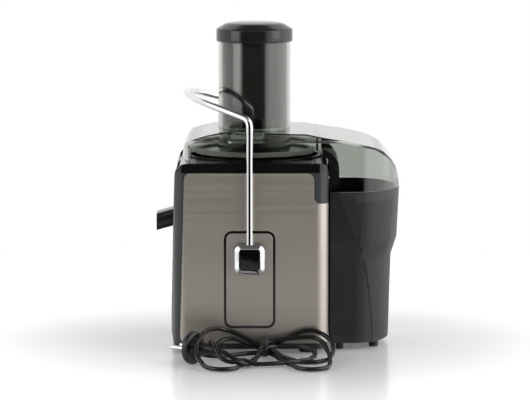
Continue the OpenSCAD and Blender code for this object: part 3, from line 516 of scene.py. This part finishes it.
def spunPart(name, profile, material, replaces, place, steps):
    bm = bmesh.new()
    verts = [bm.verts.new((r * mm, 0, h * mm)) for r, h in profile]
    edges = [bm.edges.new(pair) for pair in zip(verts, verts[1:])]
    bmesh.ops.spin(bm, geom=verts + edges, cent=(0, 0, 0), axis=(0, 0, 1), angle=2 * math.pi,
                   steps=steps, use_merge=True)
    bmesh.ops.remove_doubles(bm, verts=bm.verts, dist=1e-6)
    bmesh.ops.recalc_face_normals(bm, faces=bm.faces)
    bmesh.ops.transform(bm, matrix=place, verts=bm.verts)
    return fromBmesh(name, bm, material, "base", replaces)


plugProfile = plug["face"] + plug["neck"] + plug["ribs"]
plugBody = spunPart("plugBody", plugProfile, plugSkin, ("plug_body",), onPlug, 64)
dress("plug_pins", chrome)

tie = {"x": 12.5, "y": -121.5, "z": 11.6, "half": (11, 10), "round": 7, "width": 8, "wall": 1.2}


def makeTie():
    bm = bmesh.new()
    wide, high = tie["half"]
    x = tie["x"] - tie["width"] / 2
    y, z = tie["y"], tie["z"]
    bm.faces.new([bm.verts.new(at(x, y + sy * wide, z + sz * high)) for sy, sz in squareCorners])
    bmesh.ops.bevel(bm, geom=list(bm.verts), offset=tie["round"] * mm, segments=6, profile=0.5,
                    affect="VERTICES", material=-1)
    out = bmesh.ops.extrude_edge_only(bm, edges=list(bm.edges))
    verts = [v for v in out["geom"] if isinstance(v, bmesh.types.BMVert)]
    bmesh.ops.translate(bm, verts=verts, vec=(tie["width"] * mm, 0, 0))
    bmesh.ops.delete(bm, geom=[f for f in bm.faces if abs(f.normal.x) > 0.9], context="FACES_ONLY")
    bmesh.ops.recalc_face_normals(bm, faces=bm.faces)
    piece = fromBmesh("cordTie", bm, softRubber, "base", ("cord_tie",))
    wall = piece.modifiers.new("wall", "SOLIDIFY")
    wall.thickness = tie["wall"] * mm
    wall.offset = 1
    return piece


cordTie = makeTie()

relief = {"place": (-77, -105, 17), "ribs": 5, "first": 3.5, "pitch": 4.1, "wide": 4.5, "taper": 0.22,
          "collar": [(0, -4), (4.4, -4), (4.4, 0.2), (5.5, 0.3), (5.5, 2.0), (4.6, 2.4)],
          "tip": [(3.4, 24), (2.4, 24), (0, 24)]}


def makeRelief():
    profile = list(relief["collar"])
    for i in range(relief["ribs"]):
        h = relief["first"] + i * relief["pitch"]
        r = relief["wide"] - i * relief["taper"]
        profile += [(r, h), (r - 0.1, h + 2.2), (r - 0.8, h + 2.5), (r - 0.8, h + 3.7)]
    place = Matrix.Translation(at(*relief["place"])) @ Matrix.Rotation(math.radians(90), 4, "X")
    return spunPart("strainRelief", profile + relief["tip"], plugSkin, ("strain_relief",), place, 40)


strainRelief = makeRelief()

# Housing.
print("housing")
cadCopy("housing", "housingShell", graphite, "base", 0.8, 3)
cadCopy("top_cover", "topCover", blackGloss, "base", 0.7, 3)
cadCopy("base_plate", "basePlate", charcoal, "base", 0.4)
for side in ("near", "far"):
    cadCopy(f"side_panel_{side}", f"sidePanel{side.title()}", steelSheet, "base", 0.25, 2)
    cadCopy(f"arm_plate_{side}", f"armPlate{side.title()}", steelSheet, "base", 0.25, 2)
cadCopy("juice_bowl", "juiceBowl", bowlGrey, "bowl", 0.8, 3)
cadCopy("pulp_chute", "pulpChute", charcoal, "bowl", 0.5)
cadCopy("lid", "clearLid", clearSmoke, "cover", 0.9, 3, 18)
crease = {"depth": 0.9, "half": 0.4, "bands": 28,
          "line": [(141.6, 8.6), (140.3, 30), (138.5, 51), (134, 87), (125.6, 124), (115.4, 144), (107, 166),
                   (98, 189.4)]}


def creaseX(z):
    line = crease["line"]
    last = len(line) - 1
    slopes = []
    for i in range(last + 1):
        (x0, z0), (x1, z1) = line[max(i - 1, 0)], line[min(i + 1, last)]
        slopes.append((x1 - x0) / (z1 - z0))
    i = max(k for k in range(last) if z >= line[k][1] - 0.01 or k == 0)
    (x0, z0), (x1, z1) = line[i], line[i + 1]
    t = (z - z0) / (z1 - z0)
    low = (2 * t ** 3 - 3 * t ** 2 + 1) * x0 + (t ** 3 - 2 * t ** 2 + t) * (z1 - z0) * slopes[i]
    return low + (3 * t ** 2 - 2 * t ** 3) * x1 + (t ** 3 - t ** 2) * (z1 - z0) * slopes[i + 1]


def cutCrease(bm):
    # Each side of the bin steps inward ahead of a line that curves down it.
    def sideFaces(low=-1.0, high=1.0):
        return [f for f in bm.faces if abs(f.calc_center_median().y) > 45 * mm and abs(f.normal.y) > 0.4
                and f.calc_center_median().x > axisX + 85 * mm and low < f.calc_center_median().z < high]

    def cut(faces, place, across):
        geom = set(faces)
        for face in faces:
            geom.update(face.edges, face.verts)
        bmesh.ops.bisect_plane(bm, geom=list(geom), dist=1e-7, plane_co=place, plane_no=across)

    foot, top = crease["line"][0][1], crease["line"][-1][1]
    levels = [foot + (top - foot) * k / crease["bands"] for k in range(crease["bands"] + 1)]
    for z in levels[1:-1]:
        cut(sideFaces(), (0, 0, z * mm), (0, 0, 1))
    for low, high in zip(levels, levels[1:]):
        a, b = creaseX(low), creaseX(high)
        for half in (-crease["half"], crease["half"]):
            cut(sideFaces(low * mm - 1e-6, high * mm + 1e-6), at(a + half, 0, low), (high - low, 0, a - b))
    outer = {v for f in sideFaces() if f.normal.y * f.calc_center_median().y > 0 for v in f.verts}
    for vert in outer:
        x = (vert.co.x - axisX) / mm
        if x < creaseX(min(max(vert.co.z / mm, foot), top)) - crease["half"] + 0.02:
            vert.co.y -= math.copysign(crease["depth"] * mm, vert.co.y)


pulpBin = cadCopy("pulp_bin", "pulpBin", charcoal, "bin", 0.6, 2, 60, cutCrease)
pulpBin.modifiers["evenShading"].weight = 50  # the cut walls have many faces of one size

# Arm.
print("locking arm")
arm = {
    "x": -5.4, "half": 110, "foot": 119.3, "pivot": 113.5,   # the legs
    "bend": 277.6, "knee": 9, "slope": 0.32,                 # where they turn toward the loop
    "loop": 80, "ahead": 49.6, "end": 244, "rod": 4,         # the loop's half ellipse, and the rod's radius
}


def armRoute():
    def rise(x):
        return arm["bend"] + arm["slope"] * (arm["x"] - x)

    end = math.radians(arm["end"])
    centre = arm["x"] - arm["ahead"] * (1 + arm["half"] / arm["loop"] * math.sin(end)) / math.cos(end)
    points = [(arm["x"], -arm["half"], z) for z in (arm["foot"], 180, 230, arm["bend"] - arm["knee"])]
    ahead = centre + arm["ahead"] * math.cos(end) - arm["x"]
    inward = arm["loop"] * math.sin(end) + arm["half"]
    knee = Vector((ahead, inward)).normalized() * arm["knee"]
    a = Vector(points[-1])
    b = Vector((arm["x"], -arm["half"], arm["bend"]))
    c = Vector((arm["x"] + knee.x, -arm["half"] + knee.y, rise(arm["x"] + knee.x)))
    for i in range(1, 7):
        u = i / 6
        points.append(tuple((1 - u) ** 2 * a + 2 * u * (1 - u) * b + u * u * c))
    for i in range(12):
        turn = end - (end - math.pi) * i / 12
        x = centre + arm["ahead"] * math.cos(turn)
        points.append((x, arm["loop"] * math.sin(turn), rise(x)))
    apex = centre - arm["ahead"]
    return points + [(apex, 0, rise(apex))] + [(x, -y, z) for x, y, z in reversed(points)]


tubeAlong("lockingArm", armRoute(), arm["rod"], chrome, "arm", ("locking_arm",), rings=4, sides=10)

clamp = {"size": 35, "inner": 25, "y": 105.6, "deep": 12, "round": 8, "bezel": 3.8, "slope": 3.6}


def roundedPlate(bm, centre, half, y, corner, thick):
    # A rounded square that stands in the x-z plane, with its thickness along y.
    x, z = centre
    wide, high = half
    bm.faces.new([bm.verts.new(at(x + sx * wide, y, z + sz * high)) for sx, sz in squareCorners])
    bmesh.ops.bevel(bm, geom=list(bm.verts), offset=corner * mm, segments=8, profile=0.5,
                    affect="VERTICES", material=-1)
    grown = bmesh.ops.extrude_face_region(bm, geom=list(bm.faces))
    verts = [v for v in grown["geom"] if isinstance(v, bmesh.types.BMVert)]
    bmesh.ops.translate(bm, verts=verts, vec=(0, thick * mm, 0))
    bmesh.ops.recalc_face_normals(bm, faces=bm.faces)
    return [f for f in bm.faces if f.normal.y * thick > 0.9 * abs(thick)]


def makeClamp(side):
    name = "Near" if side < 0 else "Far"
    pivot = (arm["x"], arm["pivot"])
    half = clamp["size"] / 2
    bm = bmesh.new()
    front = roundedPlate(bm, pivot, (half, half), side * clamp["y"], clamp["round"],
                         side * (clamp["deep"] - clamp["slope"]))
    bmesh.ops.inset_region(bm, faces=front, thickness=0.5 * mm, depth=0.4 * mm)
    bmesh.ops.inset_region(bm, faces=front, thickness=clamp["bezel"] * mm, depth=(clamp["slope"] - 0.6) * mm)
    bmesh.ops.inset_region(bm, faces=front, thickness=0.4 * mm, depth=0.2 * mm)
    bmesh.ops.inset_region(bm, faces=front, thickness=0.3 * mm, depth=-1.0 * mm)
    fromBmesh("armClamp" + name, bm, chrome, "arm", ("arm_clamp_" + name.lower(),), 25)
    half = clamp["inner"] / 2 - 0.1
    bm = bmesh.new()
    front = roundedPlate(bm, pivot, (half, half), side * (clamp["y"] + clamp["deep"] - 1.2), 4, side * 1.2)
    bmesh.ops.inset_region(bm, faces=front, thickness=0.5 * mm, depth=0.35 * mm)
    bmesh.ops.inset_region(bm, faces=front, thickness=1.5 * mm, depth=0.25 * mm)
    fromBmesh("clampInlay" + name, bm, blackGloss, "arm", ("clamp_inlay_" + name.lower(),), 30)


groove = {"centre": (-5.4, 88.5), "half": (27.4, 55), "corner": 7, "gap": 3, "y": 104.4, "thick": 0.3}


def makeGroove(side):
    # The black liner in the groove round the arm's plate.
    bm = bmesh.new()
    wide, high = (value + groove["gap"] for value in groove["half"])
    corner = groove["corner"] + groove["gap"]
    front = roundedPlate(bm, groove["centre"], (wide, high), side * groove["y"], corner,
                         side * groove["thick"])
    back = [f for f in bm.faces if f.normal.y * side < -0.9]
    bmesh.ops.inset_region(bm, faces=front, thickness=groove["gap"] * mm)
    bmesh.ops.inset_region(bm, faces=back, thickness=groove["gap"] * mm)
    rims = [[e for f in faces for e in f.edges if len({g in faces for g in e.link_faces}) > 1]
            for faces in (front, back)]
    bmesh.ops.delete(bm, geom=front + back, context="FACES_ONLY")
    bmesh.ops.bridge_loops(bm, edges=rims[0] + rims[1])
    bmesh.ops.recalc_face_normals(bm, faces=bm.faces)
    fromBmesh("grooveLiner" + ("Near" if side < 0 else "Far"), bm, blackGloss, "base")


for side in (-1, 1):
    makeClamp(side)
    makeGroove(side)

# Pusher.
print("pusher and bin")
cap = {
    "skirt": [(0, 363.4), (45.2, 363.4), (45.9, 364.0), (46, 365), (46, 377.2), (45.7, 378.1), (44.7, 379.1)],
    "slope": [(43.6, 379.8), (36.2, 384.1), (34.9, 384.8), (31, 385.7)],
    "crown": [(27, 386.3), (16, 387), (6, 387.35), (0, 387.4)],
}
spinProfile("pusherCap", cap["skirt"] + cap["slope"] + cap["crown"], capPlastic, "pusher", ("pusher_cap",))
cadCopy("pusher_body", "pusherBody", pusherSmoke, "pusher", 0.8, 3)

# Pieces that keep the frame's shape, by material.
kept = {
    charcoal: ("bin_feet", "cooling_fan", "interlock_switch", "speed_switch", "rocker_button"),
    blackGloss: ("rocker_frame",),
    softRubber: ("rubber_feet", "motor_bushes", "shaft_seal"),
    motorSteel: ("base_screws", "motor_stator", "motor_shaft", "pivot_pin_near", "pivot_pin_far",
                 "pin_clips"),
    castZinc: ("motor_bracket_upper", "motor_bracket_lower"),
    copper: ("armature", "commutator"),
    nylon: ("pivot_bush_near", "pivot_bush_far", "drive_coupling", "interlock_plunger", "basket_rim",
            "basket_hub"),
    carbonBlock: ("carbon_brushes",),
    boardGreen: ("suppressor_board",),
    fineSteel: ("sieve_cone", "grating_disc"),
    clearSmoke: ("lid_rib",),
}
for material, names in kept.items():
    for name in names:
        dress(name, material)

# Floor.
floor = {"radius": 0.85, "height": -0.0004, "fade": (0.16, 0.46), "glow": ((0.12,) * 3, (0.44,) * 3),
         "reflected": 0.2}
floorMaterial, tree, shader, place = blankMaterial("paleTable")
link(tree, mixColour(tree, noise(tree, place, 5.0), (0.80, 0.80, 0.81), (0.83, 0.83, 0.84)),
     shader.inputs["Base Color"])
link(tree, ramp(tree, noise(tree, place, 6.0), 0.3, 0.7, 0.2, 0.26), shader.inputs["Roughness"])
length = tree.nodes.new("ShaderNodeVectorMath")
length.operation = "LENGTH"
link(tree, place, length.inputs[0])
glow = mixColour(tree, ramp(tree, length.outputs["Value"], *floor["fade"]), *floor["glow"])
link(tree, glow, shader.inputs["Emission Color"])
paths = tree.nodes.new("ShaderNodeLightPath")
link(tree, ramp(tree, paths.outputs["Is Camera Ray"], 0, 1, floor["reflected"], 1.0),
     shader.inputs["Emission Strength"])
bm = bmesh.new()
bmesh.ops.create_circle(bm, cap_ends=True, segments=96, radius=floor["radius"])
bmesh.ops.translate(bm, verts=bm.verts, vec=(0, 0, floor["height"]))
table = fromBmesh("paleTable", bm, floorMaterial, None)

print("cord length", round(polyLength(route), 3))
